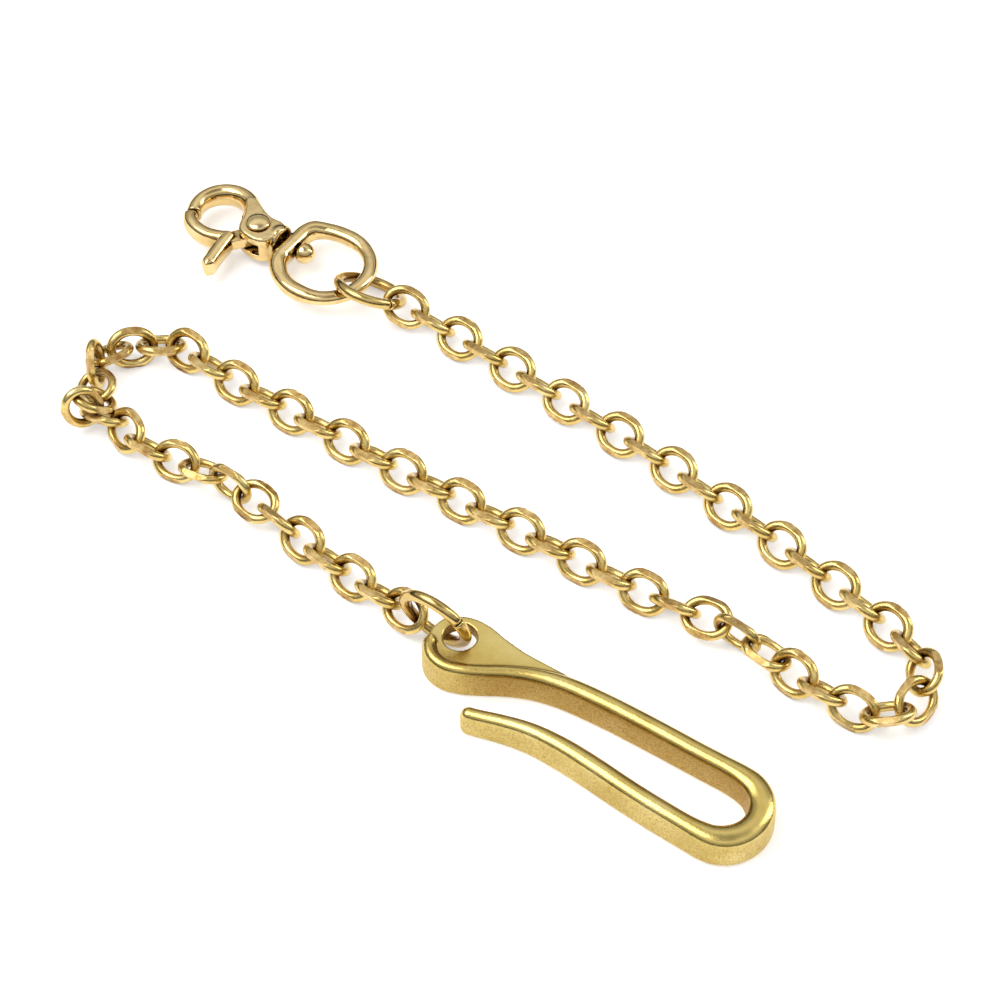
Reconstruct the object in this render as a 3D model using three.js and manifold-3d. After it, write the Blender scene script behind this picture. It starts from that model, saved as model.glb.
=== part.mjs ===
// Pocket watch chain: a belt hook, a cable chain of 67 oval links laid out in three runs, and a
// trigger-snap clasp that turns on a swivel ring. Millimetres, +Z up, everything resting on Z = 0.
import * as THREE from 'three';
import { mergeVertices } from 'three/addons/utils/BufferGeometryUtils.js';
import Module from 'manifold-3d';

const wasm = await Module();
wasm.setup();

// ---------- driving dimensions ----------
const LINK_LENGTH = 10.95; // outside length of a chain link
const LINK_WIDTH = 9.0; // outside width before the sides are planed flat
const LINK_WIRE = 1.8; // wire diameter of a chain link
const LINK_PLANED = 0.22; // depth of the flat planed on each long side
const LINK_GAP = 0.3; // clearance between two hooked links
const LINK_REACH = LINK_LENGTH - LINK_WIRE; // between the wire centres of a link's two ends
const HOOKED = LINK_WIRE + LINK_GAP; // between the wire centres of two hooked links
const HOOKED_FUSED = LINK_WIRE - 0.1; // the same inside a pair that is one solid

const HOOK_HEIGHT = 7.6; // belt hook, bench to crown
const HOOK_WALL = 5.9; // height of its upright sides, below the rounded crown
const HOOK_WIDTH = 4.0; // width of its shank
const HEAD_BOTTOM = 3.3; // underside of the head plate
const HEAD_TOP = 6.3; // top of the head plate, sunk below the crown
const EYE = { x: 15.9, y: -37.6, radius: 3.4 };

const HOOK_RING = { x: 10.3, y: -37.9, z: 8.2, radius: 7.1, wire: 2.4, lean: -78 };
const CLASP_RING = { x: -54.0, y: 29.8, z: 5.15, radius: 7.1, wire: 2.4, lean: -33 };

const AXIS_Y = 31.1; // swivel axis, parallel to X
const AXIS_Z = 5.0;
const LOOP = { x: -66.6, radius: 9.8, barX: -76.2, section: 3.3, height: 2.7, drop: 0.5 };
const RIVET = { x: -84.5, y: 30.3, shank: 1.2, head: 2.7 };
const CLASP_THICK = 7.0; // over both cheeks
const SLOT = 3.2; // between the cheeks
const LEVER_HUB = 2.6; // thickness of the lever where it sits in the slot
const LEVER_THICK = 4.8; // thickness of its jaw and thumb piece
const EYE_LOOP = { x: -94.6, y: 30.6, radius: 6.6 }; // centreline of the clasp's hook

// ---------- the line the chain lies along, from the clasp to the belt hook ----------
// [link number, x, y, z]: where the far end of that link is led; the links between are interpolated
const ROUTE = [
  [0, -47.5, 30.4, 5.1],
  [1, -40.0, 30.9, 3.5],
  [5, -10.2, 28.4, 3.5],
  [9, 18.4, 25.5, 3.5],
  [13, 47.0, 21.1, 3.5],
  [17, 74.8, 15.4, 3.5],
  [19, 88.4, 11.8, 3.7],
  [20, 94.0, 8.2, 4.9],
  [21, 98.2, 2.2, 5.6],
  [22, 96.6, -4.4, 3.8],
  [23, 90.6, -8.0, 3.6],
  [24, 83.8, -8.4, 3.5],
  [25, 75.3, -7.4, 3.5],
  [26, 68.5, -6.0, 3.8],
  [27, 61.5, -5.4, 4.4],
  [28, 54.5, -5.2, 4.5],
  [29, 47.5, -5.8, 3.9],
  [30, 41.4, -6.3, 3.5],
  [31, 34.1, -6.7, 3.5],
  [39, -23.6, -7.4, 3.5],
  [45, -66.5, -6.8, 3.5],
  [46, -73.0, -5.6, 3.5],
  [47, -79.4, -5.2, 3.5],
  [48, -84.6, -8.9, 3.6],
  [49, -88.9, -13.9, 4.0],
  [50, -91.2, -20.2, 4.5],
  [51, -87.2, -23.4, 2.8],
  [52, -81.8, -26.5, 5.7],
  [53, -84.2, -32.8, 9.0],
  [54, -82.1, -31.4, 2.5],
  [55, -75.4, -29.0, 3.0],
  [56, -69.1, -32.4, 3.7],
  [57, -62.8, -31.6, 3.5],
  [58, -55.8, -30.7, 3.8],
  [59, -48.8, -30.2, 4.5],
  [60, -41.8, -30.7, 4.5],
  [61, -35.0, -31.9, 4.0],
  [62, -28.2, -33.3, 3.7],
  [63, -21.2, -34.6, 3.5],
  [65, -7.2, -36.2, 3.6],
  [67, 7.7, -37.9, 5.1],
];
const LINK_COUNT = 67;
// play left between a link and the one before it where the chain is bunched up, on top of LINK_GAP
const SLACK = { 48: 0.5, 49: 0.8, 50: 1.9, 51: 2.2, 52: 0.7, 53: 0.1, 54: 0.1, 55: 0.7, 59: 0.5 };
const FIRST_ROLL = 42; // lean of the first link to the right of travel, degrees
// extra twist between a link and the one before it, degrees, where the chain turns over
const TWIST = {
  27: -18, 28: -24, 29: -20, 30: -14, 31: -12,
  50: 6, 51: -40, 52: -13, 53: -7, 54: 3, 55: 32, 56: -4,
  59: 16, 60: 22, 61: 20, 62: 12, 63: 18,
};
// links that are made as one solid with the link after them
const PAIRS = [2, 4, 6, 8, 10, 12, 14, 16, 31, 33, 35, 37, 39, 41, 43, 45];

// ---------- materials ----------
function brass(color, roughness) {
  return new THREE.MeshStandardMaterial({ color, roughness, metalness: 1 });
}
const CHAIN_BRASS = [0xd9b560, 0.28];
const CAST_BRASS = [0xd8bb78, 0.38];
const CLASP_BRASS = [0xdfbe86, 0.3];
const STEEL = [0xb9b4a8, 0.35];

// ---------- geometry helpers ----------
const V = (x, y, z) => new THREE.Vector3(x, y, z);
const rad = THREE.MathUtils.degToRad;

// skins a row of equal outlines; an open row is capped at both ends
function loft(rings, closed) {
  const count = rings[0].length;
  const positions = [];
  const index = [];
  for (const ring of rings) {
    for (const p of ring) positions.push(p.x, p.y, p.z);
  }
  const rows = closed ? rings.length : rings.length - 1;
  for (let i = 0; i < rows; i++) {
    const a = i * count;
    const b = ((i + 1) % rings.length) * count;
    for (let j = 0; j < count; j++) {
      const k = (j + 1) % count;
      index.push(a + j, b + j, b + k);
      index.push(a + j, b + k, a + k);
    }
  }
  if (!closed) {
    for (const [start, end] of [[0, true], [(rings.length - 1) * count, false]]) {
      const middle = rings[start / count].reduce((s, p) => s.add(p), V(0, 0, 0));
      middle.divideScalar(count);
      const hub = positions.length / 3;
      positions.push(middle.x, middle.y, middle.z);
      for (let j = 0; j < count; j++) {
        const k = (j + 1) % count;
        if (end) index.push(hub, start + j, start + k);
        else index.push(hub, start + k, start + j);
      }
    }
  }
  const geometry = new THREE.BufferGeometry();
  geometry.setAttribute('position', new THREE.Float32BufferAttribute(positions, 3));
  geometry.setIndex(index);
  if (volume(geometry) < 0) flip(geometry);
  return geometry;
}

function volume(geometry) {
  const p = geometry.attributes.position;
  const t = geometry.index.array;
  const a = V(0, 0, 0);
  const b = V(0, 0, 0);
  const c = V(0, 0, 0);
  let sum = 0;
  for (let i = 0; i < t.length; i += 3) {
    a.fromBufferAttribute(p, t[i]);
    b.fromBufferAttribute(p, t[i + 1]);
    c.fromBufferAttribute(p, t[i + 2]);
    sum += a.dot(b.cross(c));
  }
  return sum / 6;
}

function flip(geometry) {
  const t = geometry.index.array;
  for (let i = 0; i < t.length; i += 3) [t[i], t[i + 1]] = [t[i + 1], t[i]];
}

function toSolid(geometry) {
  const g = geometry.clone();
  g.deleteAttribute('normal');
  g.deleteAttribute('uv');
  const merged = mergeVertices(g, 1e-4);
  return new wasm.Manifold(new wasm.Mesh({
    numProp: 3,
    vertProperties: merged.attributes.position.array,
    triVerts: Uint32Array.from(merged.index.array),
  }));
}

function toGeometry(solid) {
  const mesh = solid.getMesh();
  const geometry = new THREE.BufferGeometry();
  const position = new THREE.BufferAttribute(Float32Array.from(mesh.vertProperties), 3);
  geometry.setAttribute('position', position);
  geometry.setIndex(Array.from(mesh.triVerts));
  return geometry;
}

// a level strip with upright sides and its own half width at every point of a plan curve
function strip(plan, steps, halfWidth, section) {
  const curve = new THREE.CatmullRomCurve3(plan.map(([x, y]) => V(x, y, 0)), false, 'centripetal');
  const rings = [];
  for (let i = 0; i <= steps; i++) {
    const u = i / steps;
    const p = curve.getPointAt(u);
    const t = curve.getTangentAt(u);
    const side = V(-t.y, t.x, 0);
    const w = halfWidth(u, p);
    rings.push(section(w, u).map(([s, z]) => p.clone().addScaledVector(side, s).setZ(z)));
  }
  return loft(rings, false);
}

// ---------- belt hook ----------
function makeBeltHook() {
  const bend = { x: 78.6, y: -42.4, radius: 7.6 };
  const plan = [[11.4, -40.6], [12.3, -43.0], [14.2, -44.7], [17.2, -45.3], [20.6, -44.4],
    [24.4, -42.3], [28.4, -39.8], [33.2, -37.5], [39.0, -35.9], [47.0, -35.1], [58.0, -34.8],
    [69.0, -34.8]];
  for (let a = 90; a >= -90; a -= 22.5) {
    const x = bend.x + bend.radius * Math.cos(rad(a));
    plan.push([x, bend.y + bend.radius * Math.sin(rad(a))]);
  }
  plan.push([70.0, -49.9], [62.0, -49.4], [53.5, -48.6], [46.0, -48.2], [39.5, -48.4]);
  plan.push([33.4, -49.6], [28.6, -51.0], [25.6, -51.7]);
  const half = HOOK_WIDTH / 2;
  const width = (u, p) => {
    const rim = THREE.MathUtils.smoothstep(u, 0.10, 0.26);
    const tip = 1 - THREE.MathUtils.smoothstep(u, 0.80, 1.0);
    const start = Math.sqrt(Math.max(0.02, Math.min(1, u / 0.008)));
    const spread = 1 + 0.3 * THREE.MathUtils.smoothstep(p.x, 74, 85);
    return half * (0.72 + 0.28 * rim) * (0.74 + 0.26 * tip) * nose(u) * start * spread;
  };
  // the free end is rounded off like a bullet
  const nose = (u) => Math.sqrt(Math.max(0.02, Math.min(1, (1 - u) / 0.016)));
  const section = (w, u) => {
    const points = [[-w * 0.9, 0], [w * 0.9, 0], [w * 1.05, 0.5]];
    for (let k = 0; k <= 6; k++) {
      const a = (k / 6) * Math.PI;
      points.push([w * Math.cos(a), HOOK_WALL + (HOOK_HEIGHT - HOOK_WALL) * Math.sin(a)]);
    }
    points.push([-w * 1.05, 0.5]);
    const taper = 1 - 0.18 * THREE.MathUtils.smoothstep(u, 0.84, 1.0);
    const middle = 3.2 * taper;
    const keep = 0.4 + 0.6 * nose(u);
    return points.map(([s, z]) => [s, middle + (z * taper - middle) * keep]);
  };
  const shank = toSolid(strip(plan, 66, width, section));

  const outline = new THREE.Shape();
  outline.moveTo(11.9, -42.4);
  outline.lineTo(10.4, -40.2);
  outline.lineTo(10.2, -37.8);
  outline.lineTo(11.0, -35.2);
  outline.lineTo(13.4, -33.2);
  outline.lineTo(16.4, -32.2);
  outline.lineTo(19.6, -32.2);
  outline.lineTo(23.5, -33.0);
  outline.lineTo(29.0, -33.7);
  outline.lineTo(36.0, -33.7);
  outline.lineTo(42.0, -33.7);
  outline.lineTo(47.0, -34.2);
  outline.lineTo(39.0, -36.0);
  outline.lineTo(33.2, -37.6);
  outline.lineTo(28.4, -39.9);
  outline.lineTo(24.4, -42.4);
  outline.lineTo(20.6, -44.5);
  outline.lineTo(17.2, -45.4);
  outline.lineTo(14.0, -44.9);
  outline.closePath();
  const eye = new THREE.Path();
  eye.absellipse(EYE.x, EYE.y, EYE.radius, EYE.radius, 0, Math.PI * 2);
  outline.holes.push(eye);
  const plate = new THREE.ExtrudeGeometry(outline, {
    depth: HEAD_TOP - HEAD_BOTTOM, bevelEnabled: false, curveSegments: 24,
  });
  plate.translate(0, 0, HEAD_BOTTOM);
  return toGeometry(shank.add(toSolid(plate)));
}

// ---------- rings and links ----------
// a closed loop of round wire lying in its own XY plane, lengthwise along X
function wireLoop(length, width, wire, around, sides, planed) {
  const a = (length - wire) / 2;
  const b = (width - wire) / 2;
  const r = wire / 2;
  const rings = [];
  for (let i = 0; i < around; i++) {
    const t = (i / around) * Math.PI * 2;
    const c = V(a * Math.cos(t), b * Math.sin(t), 0);
    const out = V(b * Math.cos(t), a * Math.sin(t), 0).normalize();
    const ring = [];
    for (let j = 0; j < sides; j++) {
      const s = (j / sides) * Math.PI * 2;
      const p = c.clone().addScaledVector(out, r * Math.cos(s));
      p.z = r * Math.sin(s);
      p.y = THREE.MathUtils.clamp(p.y, -width / 2 + planed, width / 2 - planed);
      ring.push(p);
    }
    rings.push(ring);
  }
  return loft(rings, true);
}

function ringGeometry(ring) {
  const size = 2 * ring.radius + ring.wire;
  const geometry = wireLoop(size, size, ring.wire, 24, 8, 0);
  geometry.rotateX(rad(ring.lean));
  geometry.translate(ring.x, ring.y, ring.z);
  return geometry;
}

// where the far end of link n is led
function routeAt(n) {
  const k = Math.max(1, ROUTE.findIndex((p) => p[0] >= n));
  const [n0, ...from] = ROUTE[k - 1];
  const [n1, ...to] = ROUTE[k];
  return V(...from).lerp(V(...to), (n - n0) / (n1 - n0));
}

// hooks each link into the one before it and leads it along the route: every link is given by the
// wire centres of its two ends, its lengthwise direction and its sideways direction
function layChain() {
  const links = [];
  let end = routeAt(0);
  let along = routeAt(1).sub(end).normalize();
  let side = null;
  for (let n = 1; n <= LINK_COUNT; n++) {
    const target = routeAt(n);
    let link = placeLink(n, target, end, along, side);
    for (let pass = 0; pass < 4 && lowest(link) < 0.03; pass++) {
      target.z += 0.05 - lowest(link);
      link = placeLink(n, target, end, along, side);
    }
    ({ end, along, side } = link);
    links.push(link);
  }
  return links;
}

function placeLink(n, target, lastEnd, lastAlong, lastSide) {
  const hooked = PAIRS.includes(n - 1) ? HOOKED_FUSED : HOOKED + (SLACK[n] ?? 0);
  let start = lastEnd.clone().addScaledVector(lastAlong, -hooked);
  let along = lastAlong;
  for (let pass = 0; pass < 4; pass++) {
    const pull = target.clone().sub(start).normalize();
    if (n > 1) pull.addScaledVector(lastSide, -pull.dot(lastSide)).normalize();
    start = lastEnd.clone().addScaledVector(pull, -hooked);
    along = target.clone().sub(start).normalize();
  }
  let side;
  if (n === 1) {
    const right = V(along.y, -along.x, 0).normalize();
    const up = right.clone().cross(along);
    const normal = right.clone().multiplyScalar(Math.sin(rad(FIRST_ROLL)));
    normal.addScaledVector(up, Math.cos(rad(FIRST_ROLL)));
    side = normal.cross(along).normalize();
  } else {
    side = along.clone().cross(lastSide).normalize();
    side.applyAxisAngle(along, rad(TWIST[n] ?? 0));
  }
  const end = start.clone().addScaledVector(along, LINK_REACH);
  return { n, start, end, along, side };
}

// height of a link's lowest point
function lowest(link) {
  const middle = (link.start.z + link.end.z) / 2;
  const dip = Math.hypot(LINK_REACH * link.along.z, (LINK_WIDTH - LINK_WIRE) * link.side.z) / 2;
  return middle - dip - LINK_WIRE / 2;
}

function linkGeometry(link) {
  const geometry = wireLoop(LINK_LENGTH, LINK_WIDTH, LINK_WIRE, 10, 6, LINK_PLANED);
  const matrix = new THREE.Matrix4();
  matrix.makeBasis(link.along, link.side, link.along.clone().cross(link.side));
  matrix.setPosition(link.start.clone().lerp(link.end, 0.5));
  return geometry.applyMatrix4(matrix);
}

// ---------- swivel ring and its pin ----------
function makeSwivelRing() {
  const y = (d) => AXIS_Y - LOOP.drop + d;
  const plan = [[LOOP.barX, y(0.5)], [LOOP.barX, y(2.8)], [-76.1, y(5.2)], [-75.2, y(7.3)],
    [-73.2, y(8.6)], [-70.3, y(9.5)]];
  for (let a = 90; a >= -90; a -= 15) {
    plan.push([LOOP.x + LOOP.radius * Math.cos(rad(a)), y(LOOP.radius * Math.sin(rad(a)))]);
  }
  plan.push([-69.8, y(-9.5)], [-72.8, y(-8.1)], [-75.4, y(-5.6)], [-76.2, y(-3.6)], [LOOP.barX, y(-1.6)]);
  const curve = new THREE.CatmullRomCurve3(plan.map(([px, py]) => V(px, py, 0)), true, 'centripetal');
  const rings = [];
  const steps = 40;
  for (let i = 0; i < steps; i++) {
    const p = curve.getPoint(i / steps);
    const t = curve.getTangent(i / steps);
    const side = V(t.y, -t.x, 0).normalize();
    const bar = 1 - THREE.MathUtils.smoothstep(p.x, LOOP.barX + 0.4, LOOP.barX + 4);
    const heavy = 1 - THREE.MathUtils.smoothstep(p.x, -67, -61); // slimmer where the jump ring sits
    const w = LOOP.section / 2 + 0.2 * heavy + 0.2 * bar;
    const h = LOOP.height / 2 + 0.4 * heavy + 0.5 * bar;
    const c = 0.85;
    const section = [[-w, h - c], [-w, -h + c], [-w + c, -h], [w - c, -h], [w, -h + c], [w, h - c],
      [w - c, h], [-w + c, h]];
    rings.push(section.map(([s, z]) => p.clone().addScaledVector(side, s).setZ(AXIS_Z + z)));
  }
  const bore = new THREE.CylinderGeometry(1.6, 1.6, 12, 20);
  bore.rotateZ(Math.PI / 2);
  bore.translate(LOOP.barX, AXIS_Y, AXIS_Z);
  return toGeometry(toSolid(loft(rings, true)).subtract(toSolid(bore)));
}

function makeSwivelPin() {
  const profile = [[0, -80.9], [1.2, -80.9], [1.2, -73.7], [2.1, -73.7], [2.35, -73.1],
    [2.2, -71.9], [1.6, -70.9], [0.8, -70.4], [0, -70.3]];
  const pin = new THREE.LatheGeometry(profile.map(([r, x]) => new THREE.Vector2(r, x)), 20);
  pin.rotateZ(-Math.PI / 2);
  pin.translate(0, AXIS_Y, AXIS_Z);
  return pin;
}

// ---------- clasp body: hook, two cheeks and a collar ----------
function plateFrom(shape, thick, bevel) {
  const plate = new THREE.ExtrudeGeometry(shape, {
    depth: thick - 2 * bevel, bevelEnabled: bevel > 0, bevelThickness: bevel, bevelSize: bevel,
    bevelOffset: -bevel, bevelSegments: 2, curveSegments: 12,
  });
  plate.translate(0, 0, AXIS_Z - thick / 2 + bevel);
  return plate;
}

function makeClaspBody() {
  // the curved hook: an arc of oval section from the cheeks round to the tip
  const rings = [];
  const steps = 22;
  for (let i = 0; i <= steps; i++) {
    const u = i / steps;
    const a = rad(THREE.MathUtils.lerp(12, 214, u));
    const out = V(Math.cos(a), Math.sin(a), 0);
    const centre = V(EYE_LOOP.x, EYE_LOOP.y, AXIS_Z).addScaledVector(out, EYE_LOOP.radius);
    const w = THREE.MathUtils.lerp(2.3, 1.75, u);
    const h = THREE.MathUtils.lerp(3.1, 2.2, u);
    const ring = [];
    for (let j = 0; j < 12; j++) {
      const s = (j / 12) * Math.PI * 2;
      const p = centre.clone().addScaledVector(out, w * Math.cos(s));
      p.z += h * Math.sin(s);
      ring.push(p);
    }
    rings.push(ring);
  }
  const hook = toSolid(loft(rings, false));

  const cheek = new THREE.Shape();
  const edge = [[-79.6, 33.3], [-82.8, 33.6], [-85.2, 34.3], [-87.6, 35.4], [-90.2, 36.4],
    [-91.6, 35.6], [-90.2, 33.2], [-89.0, 30.9], [-88.3, 28.6], [-87.2, 26.7], [-84.8, 25.85],
    [-81.6, 25.9], [-79.6, 27.4]];
  cheek.moveTo(edge[0][0], edge[0][1]);
  for (const [x, y] of edge.slice(1)) cheek.lineTo(x, y);
  cheek.closePath();
  const cheeks = toSolid(plateFrom(cheek, CLASP_THICK, 0.6));

  const profile = [[0, -84.0], [2.6, -84.0], [3.1, -82.0], [3.5, -80.9], [3.8, -80.1],
    [3.8, -79.3], [3.4, -78.6], [0, -78.6]];
  const neck = new THREE.LatheGeometry(profile.map(([r, x]) => new THREE.Vector2(r, x)), 24);
  neck.rotateZ(-Math.PI / 2);
  neck.translate(0, AXIS_Y, AXIS_Z);

  const slot = new THREE.BoxGeometry(14, 14, SLOT);
  slot.translate(-88.6, 29.2, AXIS_Z);
  const slotEnd = new THREE.BoxGeometry(8.1, 6.5, SLOT);
  slotEnd.translate(-86.65, 25.0, AXIS_Z);
  const rivetHole = new THREE.CylinderGeometry(RIVET.shank + 0.3, RIVET.shank + 0.3, 20, 20);
  rivetHole.rotateX(Math.PI / 2);
  rivetHole.translate(RIVET.x, RIVET.y, AXIS_Z);
  const pinBore = new THREE.CylinderGeometry(1.5, 1.5, 3.6, 20);
  pinBore.rotateZ(Math.PI / 2);
  pinBore.translate(-79.5, AXIS_Y, AXIS_Z);

  let body = hook.add(cheeks);
  body = body.add(toSolid(neck));
  // the slot stops short of the hook so that the cheeks stay joined to it
  const joined = new THREE.BoxGeometry(20, 20, 20);
  joined.translate(-100.2, 36.0, AXIS_Z);
  body = body.subtract(toSolid(slot).subtract(toSolid(joined)));
  body = body.subtract(toSolid(slotEnd));
  body = body.subtract(toSolid(rivetHole));
  body = body.subtract(toSolid(pinBore));
  return toGeometry(body);
}

// ---------- trigger lever, its rivet and its spring ----------
function makeTriggerLever() {
  const jawPlan = [[-86.6, 27.2], [-88.6, 25.2], [-91.0, 23.9], [-94.0, 23.2], [-97.0, 23.6],
    [-99.1, 24.6], [-100.35, 26.15]];
  const half = LEVER_THICK / 2;
  const oval = (w, h) => {
    const points = [];
    for (let j = 0; j < 10; j++) {
      const s = (j / 10) * Math.PI * 2;
      points.push([w * Math.cos(s), AXIS_Z + h * Math.sin(s)]);
    }
    return points;
  };
  // thin where it leaves the slot, full height from there on
  const jawHalf = (u) => (u < 0.12 ? 1.25 : half * 0.95);
  const jaw = toSolid(strip(jawPlan, 14, () => 1.65, (w, u) => oval(w, jawHalf(u))));
  const thumbPlan = [[-88.9, 25.6], [-88.7, 22.6], [-88.3, 19.4], [-87.8, 16.6], [-87.5, 14.9]];
  const round = (u) => Math.sqrt(Math.max(0.05, Math.min(1, (1 - u) / 0.12)));
  const thumb = toSolid(strip(thumbPlan, 12, (u) => 1.75 * round(u), (w) => oval(w, half)));
  const hub = new THREE.CylinderGeometry(2.6, 2.6, LEVER_HUB, 24);
  hub.rotateX(Math.PI / 2);
  hub.translate(RIVET.x, RIVET.y, AXIS_Z);
  const arm = new THREE.BoxGeometry(5.6, 3.4, LEVER_HUB);
  arm.rotateZ(rad(52));
  arm.translate(-86.6, 27.4, AXIS_Z);
  const hole = new THREE.CylinderGeometry(RIVET.shank + 0.3, RIVET.shank + 0.3, 10, 20);
  hole.rotateX(Math.PI / 2);
  hole.translate(RIVET.x, RIVET.y, AXIS_Z);
  const pocket = new THREE.CylinderGeometry(2.8, 2.8, 2.4, 24);
  pocket.rotateX(Math.PI / 2);
  pocket.translate(RIVET.x, RIVET.y, AXIS_Z + 0.9);
  let lever = jaw.add(thumb).add(toSolid(hub)).add(toSolid(arm));
  lever = lever.subtract(toSolid(hole)).subtract(toSolid(pocket));
  return toGeometry(lever);
}

// two turns of fine wire round the rivet, in a pocket of the lever
function makeTriggerSpring() {
  const rings = [];
  const turns = 2;
  const steps = 40;
  const wire = 0.18;
  for (let i = 0; i <= steps; i++) {
    const a = (i / steps) * turns * Math.PI * 2;
    const out = V(Math.cos(a), Math.sin(a), 0);
    const centre = V(RIVET.x, RIVET.y, AXIS_Z + 0.15 + 0.9 * (i / steps));
    centre.addScaledVector(out, 2.0);
    const ring = [];
    for (let j = 0; j < 6; j++) {
      const s = (j / 6) * Math.PI * 2;
      const p = centre.clone().addScaledVector(out, wire * Math.cos(s));
      p.z += wire * Math.sin(s);
      ring.push(p);
    }
    rings.push(ring);
  }
  return loft(rings, false);
}

function makeTriggerRivet() {
  const top = CLASP_THICK / 2 + 0.3;
  const profile = [[0, -top - 0.6], [1.4, -top - 0.5], [2.3, -top - 0.3], [RIVET.head, -top],
    [RIVET.shank, -top], [RIVET.shank, top], [RIVET.head, top], [2.3, top + 0.45],
    [1.4, top + 0.75], [0, top + 0.85]];
  const rivet = new THREE.LatheGeometry(profile.map(([r, z]) => new THREE.Vector2(r, z)), 20);
  rivet.rotateX(Math.PI / 2);
  rivet.translate(RIVET.x, RIVET.y, AXIS_Z);
  return rivet;
}

// ---------- assembly ----------
const chainParts = new THREE.Group();

function addPart(name, geometry, look) {
  const [color, roughness] = look;
  geometry.computeVertexNormals();
  const mesh = new THREE.Mesh(geometry, brass(color, roughness));
  mesh.name = name;
  chainParts.add(mesh);
}

addPart('belt_hook', makeBeltHook(), CAST_BRASS);
addPart('hook_jump_ring', ringGeometry(HOOK_RING), CHAIN_BRASS);
addPart('clasp_jump_ring', ringGeometry(CLASP_RING), CHAIN_BRASS);
addPart('swivel_ring', makeSwivelRing(), CLASP_BRASS);
addPart('swivel_pin', makeSwivelPin(), CLASP_BRASS);
addPart('clasp_body', makeClaspBody(), CLASP_BRASS);
addPart('trigger_lever', makeTriggerLever(), CLASP_BRASS);
addPart('trigger_rivet', makeTriggerRivet(), CLASP_BRASS);
addPart('trigger_spring', makeTriggerSpring(), STEEL);

const two = (n) => String(n).padStart(2, '0');
const links = layChain();
for (let n = 1; n <= LINK_COUNT; n++) {
  const geometry = linkGeometry(links[n - 1]);
  if (PAIRS.includes(n)) {
    const pair = toSolid(geometry).add(toSolid(linkGeometry(links[n])));
    addPart(`link_${two(n)}_${two(n + 1)}`, toGeometry(pair), CHAIN_BRASS);
    n++;
  } else {
    addPart(`link_${two(n)}`, geometry, CHAIN_BRASS);
  }
}

// the layout stands centred on the origin, its lowest point on the bench
const box = new THREE.Box3().setFromObject(chainParts);
const shift = box.getCenter(V(0, 0, 0)).negate().setZ(-box.min.z);
for (const mesh of chainParts.children) mesh.geometry.translate(shift.x, shift.y, shift.z);

export default chainParts;
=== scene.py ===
# Looks of the pocket watch chain: fine meshes and brass materials for its pieces, laid where the imported
# model has them, on a pale studio floor; the trigger spring keeps its imported mesh and gets steel. Lengths
# are in millimetres until a mesh is made.
import math
import random

import bmesh
import bpy
import numpy as np
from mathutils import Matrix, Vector


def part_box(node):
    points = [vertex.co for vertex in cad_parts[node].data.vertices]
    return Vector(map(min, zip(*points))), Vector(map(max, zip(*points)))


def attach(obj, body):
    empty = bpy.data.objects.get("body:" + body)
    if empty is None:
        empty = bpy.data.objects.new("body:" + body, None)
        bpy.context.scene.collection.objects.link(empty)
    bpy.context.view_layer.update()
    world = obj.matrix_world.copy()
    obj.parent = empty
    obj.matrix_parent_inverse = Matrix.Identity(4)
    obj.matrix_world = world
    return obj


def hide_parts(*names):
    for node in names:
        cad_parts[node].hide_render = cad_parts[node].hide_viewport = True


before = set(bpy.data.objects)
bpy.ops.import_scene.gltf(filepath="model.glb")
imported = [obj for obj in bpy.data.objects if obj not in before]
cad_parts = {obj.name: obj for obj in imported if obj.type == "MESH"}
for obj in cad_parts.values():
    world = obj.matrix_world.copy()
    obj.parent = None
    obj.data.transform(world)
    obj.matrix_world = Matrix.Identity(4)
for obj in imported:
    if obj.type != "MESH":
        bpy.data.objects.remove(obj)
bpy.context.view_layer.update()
random.seed(7)

MM = 0.001

# ---------- sizes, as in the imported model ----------
LINK_LENGTH = 10.95
LINK_WIDTH = 9.0
LINK_WIRE = 1.8
LINK_GAP = 0.3
LINK_REACH = LINK_LENGTH - LINK_WIRE  # between the wire centres of a link's two ends
HOOKED = LINK_WIRE + LINK_GAP  # between the wire centres of two hooked links
HOOKED_FUSED = LINK_WIRE - 0.1  # the same inside a pair that is one body

# ---------- the fuller wire that is shown, with the burrs that planing leaves ----------
FULL_WIRE = 2.08
FULL_WIDTH = 7.5  # between the wire centres of a link's two flanks
TIGHT_WIRE = 1.95  # for links with little room round them
TIGHT_WIDTH = LINK_WIDTH - LINK_WIRE
TIGHT_LINKS = {1, 20, 21, 22, 24, 25, 27, 28, 29, 67} | set(range(50, 62))
SLIM_LINK = 52  # the one with the least room, in the middle of the heap
PLANED_DEPTHS = (0.36, 0.42, 0.5)

HOOK_HEIGHT = 7.6
HOOK_WALL = 5.9
HOOK_WIDTH = 4.0
HEAD_BOTTOM = 3.3
HEAD_TOP = 6.3
EYE = (15.9, -37.6, 3.4)

HOOK_RING = {"x": 10.3, "y": -37.9, "z": 8.2, "radius": 7.1, "wire": 2.4, "lean": -78}
CLASP_RING = {"x": -54.0, "y": 29.8, "z": 5.15, "radius": 7.1, "wire": 2.4, "lean": -33}

AXIS_Y = 31.1
AXIS_Z = 5.0
LOOP = {"x": -66.6, "radius": 9.8, "bar_x": -76.2, "section": 3.3, "height": 2.7, "drop": 0.5}
RIVET = {"x": -84.5, "y": 30.3, "shank": 1.2, "head": 2.7}
CLASP_THICK = 7.0
SLOT = 3.2
LEVER_HUB = 2.6
LEVER_THICK = 4.8
EYE_LOOP = (-94.6, 30.6, 6.6)

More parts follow.
